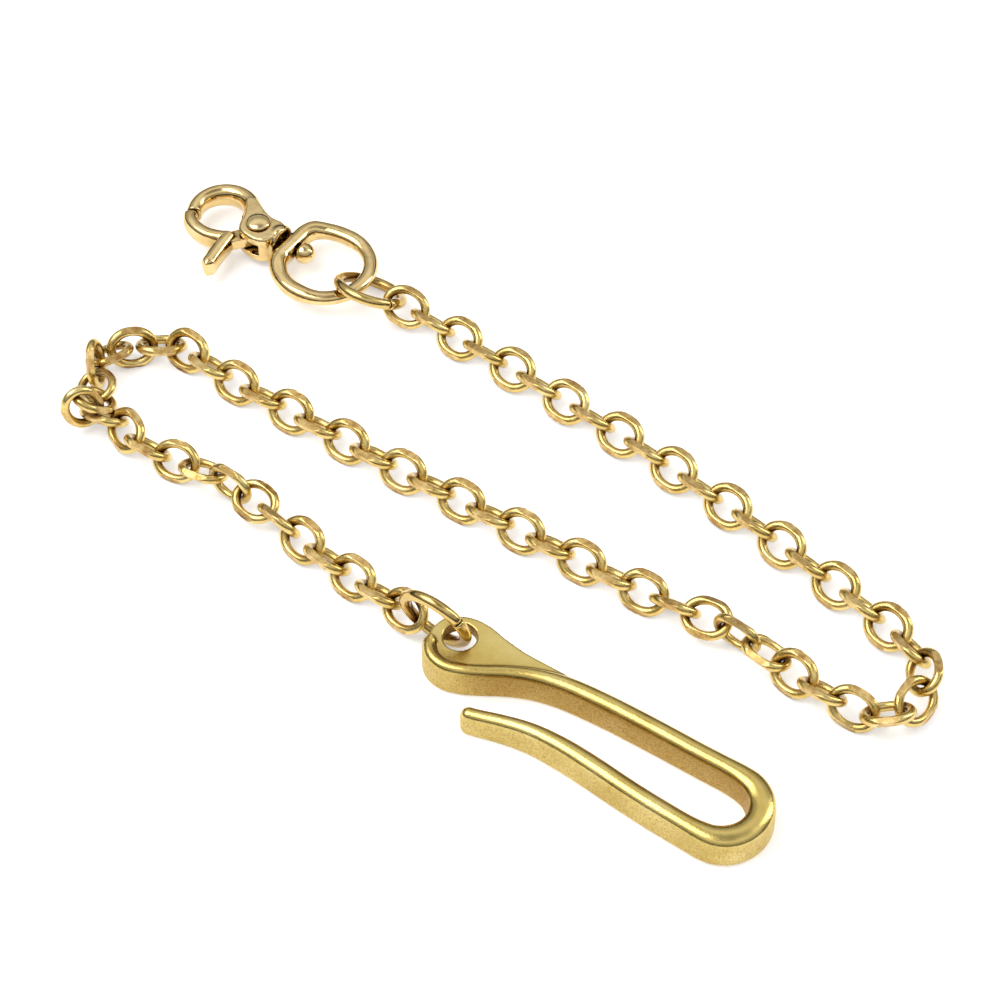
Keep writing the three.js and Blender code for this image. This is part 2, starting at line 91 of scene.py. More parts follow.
# ---------- the line the chain lies along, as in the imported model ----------
ROUTE = [
    (0, -47.5, 30.4, 5.1), (1, -40.0, 30.9, 3.5), (5, -10.2, 28.4, 3.5), (9, 18.4, 25.5, 3.5),
    (13, 47.0, 21.1, 3.5), (17, 74.8, 15.4, 3.5), (19, 88.4, 11.8, 3.7), (20, 94.0, 8.2, 4.9),
    (21, 98.2, 2.2, 5.6), (22, 96.6, -4.4, 3.8), (23, 90.6, -8.0, 3.6), (24, 83.8, -8.4, 3.5),
    (25, 75.3, -7.4, 3.5), (26, 68.5, -6.0, 3.8), (27, 61.5, -5.4, 4.4), (28, 54.5, -5.2, 4.5),
    (29, 47.5, -5.8, 3.9), (30, 41.4, -6.3, 3.5), (31, 34.1, -6.7, 3.5), (39, -23.6, -7.4, 3.5),
    (45, -66.5, -6.8, 3.5), (46, -73.0, -5.6, 3.5), (47, -79.4, -5.2, 3.5), (48, -84.6, -8.9, 3.6),
    (49, -88.9, -13.9, 4.0), (50, -91.2, -20.2, 4.5), (51, -87.2, -23.4, 2.8),
    (52, -81.8, -26.5, 5.7), (53, -84.2, -32.8, 9.0), (54, -82.1, -31.4, 2.5),
    (55, -75.4, -29.0, 3.0), (56, -69.1, -32.4, 3.7), (57, -62.8, -31.6, 3.5),
    (58, -55.8, -30.7, 3.8), (59, -48.8, -30.2, 4.5), (60, -41.8, -30.7, 4.5),
    (61, -35.0, -31.9, 4.0), (62, -28.2, -33.3, 3.7), (63, -21.2, -34.6, 3.5),
    (65, -7.2, -36.2, 3.6), (67, 7.7, -37.9, 5.1),
]
LINK_COUNT = 67
SLACK = {48: 0.5, 49: 0.8, 50: 1.9, 51: 2.2, 52: 0.7, 53: 0.1, 54: 0.1, 55: 0.7, 59: 0.5}
FIRST_ROLL = 42
TWIST = {
    27: -18, 28: -24, 29: -20, 30: -14, 31: -12,
    50: 6, 51: -40, 52: -13, 53: -7, 54: 3, 55: 32, 56: -4,
    59: 16, 60: 22, 61: 20, 62: 12, 63: 18,
}
PAIRS = [2, 4, 6, 8, 10, 12, 14, 16, 31, 33, 35, 37, 39, 41, 43, 45]


# ---------- laying the chain ----------
def unit(v):
    return v / np.linalg.norm(v)


def turned(v, axis, degrees):
    c, s = math.cos(math.radians(degrees)), math.sin(math.radians(degrees))
    return v * c + np.cross(axis, v) * s + axis * np.dot(axis, v) * (1 - c)


def route_at(n):
    k = max(1, next(i for i, p in enumerate(ROUTE) if p[0] >= n))
    n0, *a = ROUTE[k - 1]
    n1, *b = ROUTE[k]
    t = (n - n0) / (n1 - n0)
    return np.array(a) * (1 - t) + np.array(b) * t


def place_link(n, target, last_end, last_along, last_side):
    hooked = HOOKED_FUSED if n - 1 in PAIRS else HOOKED + SLACK.get(n, 0)
    start = last_end - last_along * hooked
    for _ in range(4):
        pull = unit(target - start)
        if n > 1:
            pull = unit(pull - last_side * np.dot(pull, last_side))
        start = last_end - pull * hooked
        along = unit(target - start)
    if n == 1:
        right = unit(np.array([along[1], -along[0], 0.0]))
        up = np.cross(right, along)
        roll = math.radians(FIRST_ROLL)
        normal = right * math.sin(roll) + up * math.cos(roll)
        side = unit(np.cross(normal, along))
    else:
        side = turned(unit(np.cross(along, last_side)), along, TWIST.get(n, 0))
    end = start + along * LINK_REACH
    return {"n": n, "start": start, "end": end, "along": along, "side": side}


def lowest(link):
    middle = (link["start"][2] + link["end"][2]) / 2
    ends = LINK_REACH * link["along"][2]
    sides = (LINK_WIDTH - LINK_WIRE) * link["side"][2]
    return middle - math.hypot(ends, sides) / 2 - LINK_WIRE / 2


def lay_chain():
    links = []
    end = route_at(0)
    along = unit(route_at(1) - end)
    side = None
    for n in range(1, LINK_COUNT + 1):
        target = route_at(n)
        link = place_link(n, target, end, along, side)
        for _ in range(4):
            if lowest(link) >= 0.03:
                break
            target[2] += 0.05 - lowest(link)
            link = place_link(n, target, end, along, side)
        end, along, side = link["end"], link["along"], link["side"]
        links.append(link)
    return links


links = lay_chain()
low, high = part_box("link_01")
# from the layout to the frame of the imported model
SHIFT = np.array((low + high) / 2) / MM - (links[0]["start"] + links[0]["end"]) / 2


def placed(x, y, z):
    return Vector((np.array([x, y, z]) + SHIFT) * MM)


# ---------- materials ----------
def srgb(r, g, b):
    def linear(c):
        c /= 255
        return c / 12.92 if c <= 0.04045 else ((c + 0.055) / 1.055) ** 2.4

    return (linear(r), linear(g), linear(b), 1.0)


class Nodes:
    """Short names for building one material's nodes."""

    def __init__(self, name):
        self.material = bpy.data.materials.new(name)
        self.material.use_nodes = True
        self.tree = self.material.node_tree
        self.shader = self.tree.nodes["Principled BSDF"]

    def add(self, kind, links=None, **settings):
        node = self.tree.nodes.new(kind)
        for key, value in settings.items():
            setattr(node, key, value)
        for key, value in (links or {}).items():
            if isinstance(value, bpy.types.NodeSocket):
                self.tree.links.new(value, node.inputs[key])
            else:
                node.inputs[key].default_value = value
        return node

    def position(self, stretch=(1, 1, 1)):
        where = self.add("ShaderNodeTexCoord").outputs["Object"]
        return self.add("ShaderNodeMapping", {"Vector": where, "Scale": stretch}).outputs["Vector"]

    def noise(self, scale, detail=3.0, rough=0.5, stretch=(1, 1, 1)):
        node = self.add(
            "ShaderNodeTexNoise",
            {"Vector": self.position(stretch), "Scale": scale, "Detail": detail, "Roughness": rough},
        )
        return node.outputs["Fac"]

    def ramp(self, value, stops):
        node = self.add("ShaderNodeValToRGB", {"Fac": value})
        elements = node.color_ramp.elements
        while len(elements) < len(stops):
            elements.new(0.5)
        for element, (place, color) in zip(elements, stops):
            element.position = place
            element.color = color if isinstance(color, tuple) else (color, color, color, 1)
        return node.outputs["Color"]

    def span(self, value, low_out, high_out, low_in=0.3, high_in=0.7):
        node = self.add(
            "ShaderNodeMapRange",
            {"Value": value, "From Min": low_in, "From Max": high_in,
             "To Min": low_out, "To Max": high_out},
        )
        return node.outputs["Result"]

    def mix(self, factor, a, b, blend="MIX"):
        node = self.add("ShaderNodeMix", data_type="RGBA", blend_type=blend)
        for key, value in (("Factor", factor), ("A", a), ("B", b)):
            socket = next(s for s in node.inputs if s.name == key and s.enabled)
            if isinstance(value, bpy.types.NodeSocket):
                self.tree.links.new(value, socket)
            else:
                socket.default_value = value
        return next(s for s in node.outputs if s.enabled)

    def math(self, operation, a, b):
        node = self.add("ShaderNodeMath", operation=operation)
        for socket, value in zip(node.inputs, (a, b)):
            if isinstance(value, bpy.types.NodeSocket):
                self.tree.links.new(value, socket)
            else:
                socket.default_value = value
        return node.outputs["Value"]

    def attribute(self, name):
        return self.add("ShaderNodeAttribute", attribute_name=name).outputs["Fac"]

    def shade_mask(self, distance, low_in, high_in, only_local=False):
        """1 in crevices and contacts within the distance, 0 in the open: the ambient occlusion mask by
        which shade is painted into a colour.
        """
        node = self.add("ShaderNodeAmbientOcclusion", {"Distance": distance},
                        samples=6, only_local=only_local)
        return self.span(node.outputs["AO"], 1, 0, low_in, high_in)

    def bump(self, height, distance, strength=1.0, normal=None):
        sockets = {"Height": height, "Distance": distance, "Strength": strength}
        if normal is not None:
            sockets["Normal"] = normal
        return self.add("ShaderNodeBump", sockets).outputs["Normal"]

    def finish(self, color, roughness, normal, metallic=1.0):
        self.tree.links.new(color, self.shader.inputs["Base Color"])
        self.tree.links.new(roughness, self.shader.inputs["Roughness"])
        self.tree.links.new(normal, self.shader.inputs["Normal"])
        self.shader.inputs["Metallic"].default_value = metallic
        return self.material


def chain_brass():
    """Polished drawn wire, satin and scratched where it is planed; brown shade painted on the inner side of
    the hooked bends and dark brown shade painted into the contacts between links.
    """
    n = Nodes("chain_brass")
    clouds = n.noise(260, 4, 0.6)
    base = n.ramp(clouds, [(0.3, srgb(204, 172, 96)), (0.55, srgb(230, 202, 128)),
                           (0.75, srgb(243, 222, 156))])
    flat = n.ramp(n.noise(420, 4, 0.7), [(0.32, srgb(166, 124, 66)), (0.5, srgb(212, 178, 112)),
                                         (0.68, srgb(238, 212, 150))])
    # painted shade: the inner side of the wire, most at the link's hooked ends, is darkened to brown
    inner_shaded = n.mix(n.math("MULTIPLY", n.attribute("inner"), 0.5), base, srgb(150, 108, 54))
    bright = n.mix(n.attribute("planed"), inner_shaded, flat)
    # painted shade: crevices and contacts between links are darkened to dark brown by ambient occlusion
    color = n.mix(n.math("MULTIPLY", n.shade_mask(0.0026, 0.25, 0.85), 0.85), bright, srgb(96, 60, 26))
    scratches = n.noise(900, 6, 0.75, (1, 5, 5))
    rough_wire = n.span(clouds, 0.14, 0.28)
    rough_flat = n.span(scratches, 0.28, 0.52)
    rough = n.mix(n.attribute("planed"), rough_wire, rough_flat)
    flat_bump = n.bump(scratches, 0.00006, 0.55)
    normal = n.bump(n.noise(420, 3, 0.5), 0.00005, 0.35, flat_bump)
    return n.finish(color, rough, normal)


def ring_brass():
    """Polished drawn wire of the two jump rings, drawn lines running round it, with brown shade painted on
    its inner side and into its contacts.
    """
    n = Nodes("ring_brass")
    clouds = n.noise(180, 4, 0.6)
    base = n.ramp(clouds, [(0.3, srgb(198, 166, 96)), (0.6, srgb(222, 194, 124)),
                           (0.8, srgb(236, 213, 150))])
    # painted shade: the inner side of the ring's wire is darkened to brown
    inner_shaded = n.mix(n.math("MULTIPLY", n.attribute("inner"), 0.45), base, srgb(146, 106, 52))
    # painted shade: crevices and contacts are darkened to dark brown by ambient occlusion
    color = n.mix(n.math("MULTIPLY", n.shade_mask(0.003, 0.3, 0.85), 0.8), inner_shaded, srgb(104, 66, 28))
    lines = n.noise(700, 4, 0.7)
    normal = n.bump(lines, 0.00004, 0.4)
    return n.finish(color, n.span(clouds, 0.12, 0.27), normal)


def cast_brass():
    """Sand-cast hook: polished crown, finely pitted walls, amber shade painted into its hollows and onto
    walls facing its other parts.
    """
    n = Nodes("cast_brass")
    clouds = n.noise(110, 4, 0.55)
    base = n.ramp(clouds, [(0.3, srgb(208, 180, 98)), (0.55, srgb(226, 202, 124)),
                           (0.78, srgb(240, 220, 150))])
    facing = n.add("ShaderNodeSeparateXYZ", {"Vector": n.add("ShaderNodeNewGeometry").outputs["Normal"]})
    wall = n.span(facing.outputs["Z"], 1, 0, 0.05, 0.5)
    grain = n.noise(2600, 5, 0.7)
    speckle = n.span(grain, 0, 0.8, 0.46, 0.64)
    pitted = n.mix(speckle, base, srgb(176, 140, 66))
    bright = n.mix(wall, base, pitted)
    # painted shade: amber and darker amber stand for the shade in the hook's hollows, laid on by ambient
    # occlusion below
    shade_amber = n.mix(speckle, srgb(178, 132, 52), srgb(122, 84, 26))
    color = n.mix(n.math("MULTIPLY", n.shade_mask(0.03, 0.55, 0.93, True), 0.95), bright, shade_amber)
    rough_crown = n.span(clouds, 0.16, 0.3)
    rough_wall = n.span(grain, 0.34, 0.52)
    rough = n.mix(wall, rough_crown, rough_wall)
    pits = n.math("MULTIPLY", n.span(grain, 0, 1, 0.38, 0.62), n.span(wall, 0.12, 1, 0, 1))
    normal = n.bump(n.noise(240, 3, 0.5), 0.00008, 0.3, n.bump(pits, 0.00009, 0.7))
    return n.finish(color, rough, normal)


def clasp_brass():
    """Pinker cast brass of the clasp, tumbled bright, with a soft orange-peel and brown shade painted into
    its crevices.
    """
    n = Nodes("clasp_brass")
    clouds = n.noise(150, 4, 0.6)
    base = n.ramp(clouds, [(0.3, srgb(217, 185, 122)), (0.55, srgb(234, 206, 147)),
                           (0.8, srgb(244, 221, 168))])
    stains = n.span(n.noise(430, 5, 0.65), 0, 0.5, 0.54, 0.72)
    color = n.mix(stains, base, srgb(164, 134, 70))
    # painted shade: crevices and contacts are darkened to brown by ambient occlusion
    deep = n.mix(n.math("MULTIPLY", n.shade_mask(0.003, 0.3, 0.85), 0.85), color, srgb(104, 72, 34))
    rough = n.span(n.noise(300, 4, 0.6), 0.09, 0.2)
    normal = n.bump(n.noise(260, 2, 0.5), 0.00012, 0.5)
    return n.finish(deep, rough, normal)


def drawn_steel():
    n = Nodes("spring_steel")
    clouds = n.noise(900, 3, 0.5)
    base = n.ramp(clouds, [(0.35, srgb(130, 126, 118)), (0.65, srgb(176, 171, 160))])
    return n.finish(base, n.span(clouds, 0.25, 0.4), n.bump(clouds, 0.00003, 0.4))


CHAIN = chain_brass()
RING = ring_brass()
CAST = cast_brass()
CLASP = clasp_brass()
STEEL = drawn_steel()


# ---------- mesh helpers ----------
def piece(name, points, faces, material, body, stands_for=(), marks=None):
    """A smooth-shaded mesh object from layout points; marks are named values per point."""
    mesh = bpy.data.meshes.new(name)
    mesh.from_pydata([placed(*p) for p in points], [], faces)
    for key, values in (marks or {}).items():
        mesh.attributes.new(key, "FLOAT", "POINT").data.foreach_set("value", values)
    mesh.shade_smooth()
    if marks and "planed" in marks:
        for polygon in mesh.polygons:
            polygon.use_smooth = not all(marks["planed"][v] for v in polygon.vertices)
    mesh.materials.append(material)
    thing = bpy.data.objects.new(name, mesh)
    bpy.context.scene.collection.objects.link(thing)
    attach(thing, body)
    if stands_for:
        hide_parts(*stands_for)
    return thing


def skin(rings, closed):
    """Points and faces of a skin over a row of equal outlines."""
    count = len(rings[0])
    points = [p for ring in rings for p in ring]
    rows = len(rings) if closed else len(rings) - 1
    faces = []
    for i in range(rows):
        a, b = i * count, (i + 1) % len(rings) * count
        faces += [(a + j, b + j, b + (j + 1) % count, a + (j + 1) % count) for j in range(count)]
    if not closed:
        faces.append(tuple(reversed(range(count))))
        faces.append(tuple((len(rings) - 1) * count + j for j in range(count)))
    return points, faces


def curve(plan, steps, closed=False):
    """Evenly spaced points and tangents along a centripetal Catmull-Rom curve through a plan."""
    pts = [np.array(p, float) for p in plan]
    if closed:
        pts = [pts[-1], *pts, pts[0], pts[1]]
    else:
        pts = [2 * pts[0] - pts[1], *pts, 2 * pts[-1] - pts[-2]]
    fine = []
    for p0, p1, p2, p3 in zip(pts, pts[1:], pts[2:], pts[3:]):
        t0 = 0.0
        t1 = t0 + np.linalg.norm(p1 - p0) ** 0.5
        t2 = t1 + np.linalg.norm(p2 - p1) ** 0.5
        t3 = t2 + np.linalg.norm(p3 - p2) ** 0.5
        for t in np.linspace(t1, t2, 24, endpoint=False):
            a1 = (t1 - t) / (t1 - t0) * p0 + (t - t0) / (t1 - t0) * p1
            a2 = (t2 - t) / (t2 - t1) * p1 + (t - t1) / (t2 - t1) * p2
            a3 = (t3 - t) / (t3 - t2) * p2 + (t - t2) / (t3 - t2) * p3
            b1 = (t2 - t) / (t2 - t0) * a1 + (t - t0) / (t2 - t0) * a2
            b2 = (t3 - t) / (t3 - t1) * a2 + (t - t1) / (t3 - t1) * a3
            fine.append((t2 - t) / (t2 - t1) * b1 + (t - t1) / (t2 - t1) * b2)
    fine.append(pts[-2] if not closed else fine[0])
    fine = np.array(fine)
    gaps = np.linalg.norm(np.diff(fine, axis=0), axis=1)
    along = np.concatenate([[0], np.cumsum(gaps)]) / gaps.sum()
    at = np.linspace(0, 1, steps + 1)[: steps if closed else None]
    places = np.stack([np.interp(at, along, fine[:, k]) for k in range(2)], 1)
    ahead = np.stack([np.interp(np.minimum(at + 1e-3, 1), along, fine[:, k]) for k in range(2)], 1)
    behind = np.stack([np.interp(np.maximum(at - 1e-3, 0), along, fine[:, k]) for k in range(2)], 1)
    tangents = (ahead - behind) / np.linalg.norm(ahead - behind, axis=1)[:, None]
    return at, places, tangents


def strip(plan, steps, section, closed=False):
    """A level strip along a plan: section(u) gives (sideways, height) points."""
    rings = []
    for u, (x, y), (tx, ty) in zip(*curve(plan, steps, closed)):
        rings.append([(x - ty * s, y + tx * s, z) for s, z in section(u)])
    return skin(rings, closed)


def oval(w, h, power=2.0, count=28):
    """Points of a rounded rectangle: 2 is an ellipse, more is squarer."""
    points = []
    for k in range(count):
        a = 2 * math.pi * k / count
        c, s = math.cos(a), math.sin(a)
        x = math.copysign(abs(c) ** (2 / power), c) * w
        points.append((x, math.copysign(abs(s) ** (2 / power), s) * h))
    return points


def lathe(profile, steps, turn):
    """A solid of revolution; turn(radius, height, angle) places a point."""
    rings = []
    for i in range(steps):
        a = 2 * math.pi * i / steps
        rings.append([turn(r, h, a) for r, h in profile])
    count = len(profile)
    points = [p for ring in rings for p in ring]
    faces = []
    for i in range(steps):
        a, b = i * count, (i + 1) % steps * count
        faces += [(a + j, b + j, b + j + 1, a + j + 1) for j in range(count - 1)]
    return points, faces


def smoothstep(x, low_edge, high_edge):
    t = min(1.0, max(0.0, (x - low_edge) / (high_edge - low_edge)))
    return t * t * (3 - 2 * t)


def prism(outline, bottom, top, chamfer=0.0):
    """An upright prism of an outline, its edges taken off by the chamfer."""
    middle = np.mean(outline, axis=0)
    inner = [tuple(np.array(p) + unit(middle - p) * chamfer) for p in outline]
    rings = [
        [(x, y, bottom) for x, y in inner],
        [(x, y, bottom + chamfer) for x, y in outline],
        [(x, y, top - chamfer) for x, y in outline],
        [(x, y, top) for x, y in inner],
    ]
    return skin(rings if chamfer else [rings[1], rings[2]], False)


def box_of(x0, x1, y0, y1, z0, z1):
    return prism([(x0, y0), (x1, y0), (x1, y1), (x0, y1)], z0, z1)


def loose(points, faces):
    """A bare object, used to build others and then removed."""
    mesh = bpy.data.meshes.new("tool")
    mesh.from_pydata([placed(*p) for p in points], [], faces)
    thing = bpy.data.objects.new("tool", mesh)
    bpy.context.scene.collection.objects.link(thing)
    work = bmesh.new()
    work.from_mesh(mesh)
    bmesh.ops.remove_doubles(work, verts=work.verts, dist=1e-7)
    bmesh.ops.recalc_face_normals(work, faces=work.faces)
    work.to_mesh(mesh)
    work.free()
    return thing


def baked(thing):
    """Applies the object's modifiers."""
    depsgraph = bpy.context.evaluated_depsgraph_get()
    mesh = bpy.data.meshes.new_from_object(thing.evaluated_get(depsgraph))
    thing.modifiers.clear()
    thing.data = mesh
    return thing


def combine(base, tool, operation):
    change = base.modifiers.new("cut", "BOOLEAN")
    change.operation = operation
    change.object = tool
    change.solver = "EXACT"
    baked(base)
    bpy.data.objects.remove(tool)
    return base


def cast(name, shells, cuts, voxel, softness, material, body, stands_for):
    """One casting: shells joined, cuts taken out, all its edges softened as in a mould."""
    whole = loose(*shells[0])
    for shell in shells[1:]:
        whole = combine(whole, loose(*shell), "UNION")
    for cut in cuts:
        whole = combine(whole, loose(*cut), "DIFFERENCE")
    remesh = whole.modifiers.new("remesh", "REMESH")
    remesh.mode = "VOXEL"
    remesh.voxel_size = voxel * MM
    smooth = whole.modifiers.new("soften", "SMOOTH")
    smooth.factor = 0.5
    smooth.iterations = softness
    baked(whole)
    whole.name = name
    whole.data.name = name
    whole.data.shade_smooth()
    whole.data.materials.clear()
    whole.data.materials.append(material)
    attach(whole, body)
    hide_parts(*stands_for)
    return whole


# ---------- chain links ----------
def link_shape(planed, wire, width, around=72, sides=24):
    """A link in its own frame: points, faces and marks. Four flats are planed along its flanks."""
    a, b, r = LINK_REACH / 2, width / 2, wire / 2
    limit = b / math.sqrt(2) + r - planed
    rings, flat, inner = [], [], []
    for i in range(around):
        t = 2 * math.pi * i / around
        centre = np.array([a * math.cos(t), b * math.sin(t), 0])
        out = unit(np.array([b * math.cos(t), a * math.sin(t), 0]))
        ring = []
        for j in range(sides):
            s = 2 * math.pi * j / sides
            p = centre + out * r * math.cos(s)
            p[2] = r * math.sin(s)
            beyond = (abs(p[1]) + abs(p[2])) / math.sqrt(2) - limit
            if beyond > 0:
                p[1] -= math.copysign(beyond, p[1]) / math.sqrt(2)
                p[2] -= math.copysign(beyond, p[2]) / math.sqrt(2)
            flat.append(1.0 if beyond > 0 else 0.0)
            # mask for painted shade: the wire's inner side, strongest at the link's two hooked ends
            inner.append(max(0.0, -math.cos(s)) * abs(math.cos(t)))
            ring.append(p)
        rings.append(ring)
    points, faces = skin(rings, True)
    return points, faces, {"planed": flat, "inner": inner}


def body_of_link(n):
    if n in PAIRS:
        return f"link_{n:02d}_{n + 1:02d}"
    if n - 1 in PAIRS:
        return f"link_{n - 1:02d}_{n:02d}"
    return f"link_{n:02d}"


def make_links():
    full = [link_shape(depth, FULL_WIRE, FULL_WIDTH) for depth in PLANED_DEPTHS]
    tight = [link_shape(depth, TIGHT_WIRE, TIGHT_WIDTH) for depth in PLANED_DEPTHS]
    slim = [link_shape(depth, LINK_WIRE, TIGHT_WIDTH) for depth in PLANED_DEPTHS]
    for link in links:
        shapes = tight if link["n"] in TIGHT_LINKS else full
        if link["n"] == SLIM_LINK:
            shapes = slim
        points, faces, marks = shapes[random.randrange(len(shapes))]
        middle = (link["start"] + link["end"]) / 2
        across = np.cross(link["along"], link["side"])
        laid = [middle + link["along"] * p[0] + link["side"] * p[1] + across * p[2] for p in points]
        for p in laid:
            p[2] = max(p[2], 0.0)  # the fuller wire stays on the bench
        body = body_of_link(link["n"])
        piece(f"link_fine_{link['n']:02d}", laid, faces, CHAIN, body, (body,), marks)


# ---------- jump rings ----------
def make_ring(name, ring, seam, gap=2.2, around=96, sides=24):
    """A bent ring of round wire whose two ends nearly meet at the seam angle."""
    radius, r = ring["radius"], ring["wire"] / 2
    lean = math.radians(ring["lean"])
    chamfer = 0.12
    half_gap = math.radians(gap) / 2
    angles = [half_gap + (2 * math.pi - 2 * half_gap) * i / around for i in range(around + 1)]
    stations = [(angles[0], 0.75), (angles[0], r - chamfer), (angles[0] + chamfer / radius, r)]
    stations += [(a, r) for a in angles[1:-1]]
    stations += [(angles[-1] - chamfer / radius, r), (angles[-1], r - chamfer), (angles[-1], 0.75)]
    rings, inner = [], []
    for a, size in stations:
        t = a + math.radians(seam)
        row = []
        for j in range(sides):
            s = 2 * math.pi * j / sides
            reach = radius + size * math.cos(s)
            x, y, z = reach * math.cos(t), reach * math.sin(t), size * math.sin(s)
            y, z = y * math.cos(lean) - z * math.sin(lean), y * math.sin(lean) + z * math.cos(lean)
            row.append((ring["x"] + x, ring["y"] + y, ring["z"] + z))
            # mask for painted shade: the inner side of the ring's wire
            inner.append(max(0.0, -math.cos(s)))
        rings.append(row)
    points, faces = skin(rings, False)
    return piece(f"{name}_fine", points, faces, RING, name, (name,), {"inner": inner})


# ---------- belt hook ----------
def make_belt_hook():
    bend = (78.6, -42.4, 7.6)
    plan = [(11.4, -40.6), (12.3, -43.0), (14.2, -44.7), (17.2, -45.3), (20.6, -44.4), (24.4, -42.3),
            (28.4, -39.8), (33.2, -37.5), (39.0, -35.9), (47.0, -35.1), (58.0, -34.8), (69.0, -34.8)]
    for k in range(9):
        a = math.radians(90 - 22.5 * k)
        plan.append((bend[0] + bend[2] * math.cos(a), bend[1] + bend[2] * math.sin(a)))
    plan += [(70.0, -49.9), (62.0, -49.4), (53.5, -48.6), (46.0, -48.2), (39.5, -48.4),
             (33.4, -49.6), (28.6, -51.0), (25.6, -51.7)]

    _, places, _ = curve(plan, 540)

    def section(u):
        spread = 1 + 0.3 * smoothstep(places[round(u * 540)][0], 74, 85)
        rim = smoothstep(u, 0.10, 0.26)
        tip = 1 - smoothstep(u, 0.80, 1.0)
        nose = math.sqrt(max(0.0, 1 - (1 - min(1, (1 - u) / 0.012)) ** 2))
        nose = max(0.06, nose)
        start = math.sqrt(max(0.02, min(1, u / 0.008)))
        w = HOOK_WIDTH / 2 * (0.72 + 0.28 * rim) * (0.74 + 0.26 * tip) * nose * start * spread
        points = [(-w * 0.88, 0), (w * 0.88, 0), (w * 1.04, 0.6)]
        for k in range(13):
            a = math.pi * k / 12
            points.append((w * math.cos(a), HOOK_WALL + (HOOK_HEIGHT - HOOK_WALL) * math.sin(a)))
        points.append((-w * 1.04, 0.6))
        taper = 1 - 0.18 * smoothstep(u, 0.84, 1.0)
        middle = 3.2 * taper
        keep = 0.4 + 0.6 * nose
        return [(x, middle + (z * taper - middle) * keep) for x, z in points]

    shank = strip(plan, 540, section)
    edge = [(11.9, -42.4), (10.4, -40.2), (10.2, -37.8), (11.0, -35.2), (13.4, -33.2), (16.4, -32.2),
            (19.6, -32.2), (23.5, -33.0), (29.0, -33.7), (36.0, -33.7), (42.0, -33.7), (47.0, -34.2)]
    _, smooth_edge, _ = curve(edge, 60)
    back = [(39.0, -36.0), (33.2, -37.6), (28.4, -39.9), (24.4, -42.4), (20.6, -44.5), (17.2, -45.4),
            (14.0, -44.9)]
    head = prism([tuple(p) for p in smooth_edge] + back, HEAD_BOTTOM, HEAD_TOP)
    x, y, radius = EYE
    hole = prism([(x + radius * math.cos(a), y + radius * math.sin(a))
                  for a in np.linspace(0, 2 * math.pi, 72, endpoint=False)], -1, HOOK_HEIGHT + 2)
    cast("belt_hook_fine", [shank, head], [hole], 0.22, 4, CAST, "belt_hook", ("belt_hook",))


# ---------- swivel ring and its pin ----------
def make_swivel_ring():
    def y(d):
        return AXIS_Y - LOOP["drop"] + d

    bar_x = LOOP["bar_x"]
    plan = [(bar_x, y(0.5)), (bar_x, y(2.8)), (-76.1, y(5.2)), (-75.2, y(7.3)), (-73.2, y(8.6)),
            (-70.3, y(9.5))]
    for k in range(13):
        a = math.radians(90 - 15 * k)
        plan.append((LOOP["x"] + LOOP["radius"] * math.cos(a), y(LOOP["radius"] * math.sin(a))))
    plan += [(-69.8, y(-9.5)), (-72.8, y(-8.1)), (-75.4, y(-5.6)), (-76.2, y(-3.6)), (bar_x, y(-1.6))]
    _, places, _ = curve(plan, 200, True)

    def section(u):
        x = places[min(199, int(u * 200))][0]
        bar = 1 - smoothstep(x, bar_x + 0.4, bar_x + 4)
        heavy = 1 - smoothstep(x, -67, -61)  # slimmer where the jump ring sits
        w = LOOP["section"] / 2 + 0.2 * heavy + 0.2 * bar
        h = LOOP["height"] / 2 + 0.4 * heavy + 0.5 * bar
        return [(s, AXIS_Z + z) for s, z in oval(w, h, 2.25)]

    ring = strip(plan, 200, section, True)
    bore = lathe([(1.6, -6), (1.6, 6)], 40,
                 lambda r, h, a: (bar_x + h, AXIS_Y + r * math.cos(a), AXIS_Z + r * math.sin(a)))
    bore[1].append(tuple(2 * k for k in range(40)))
    bore[1].append(tuple(2 * k + 1 for k in reversed(range(40))))
    cast("swivel_ring_fine", [ring], [bore], 0.17, 3, CLASP, "swivel_ring", ("swivel_ring",))


def dome(base_radius, start, height, count=9):
    """Half-ellipse profile from the rim to the pole."""
    return [(base_radius * math.cos(a), start + height * math.sin(a))
            for a in np.linspace(0, math.pi / 2, count)]


def make_swivel_pin():
    profile = [(0, -80.9), (1.2, -80.9), (1.2, -73.7), (1.9, -73.7), (2.15, -73.55), (2.35, -73.1)]
    profile += dome(2.35, -72.9, 2.6, 12)
    points, faces = lathe(profile, 48, lambda r, x, a: (
        x, AXIS_Y + r * math.cos(a), AXIS_Z + r * math.sin(a)))
    piece("swivel_pin_fine", points, faces, CLASP, "clasp_body", ("swivel_pin",))


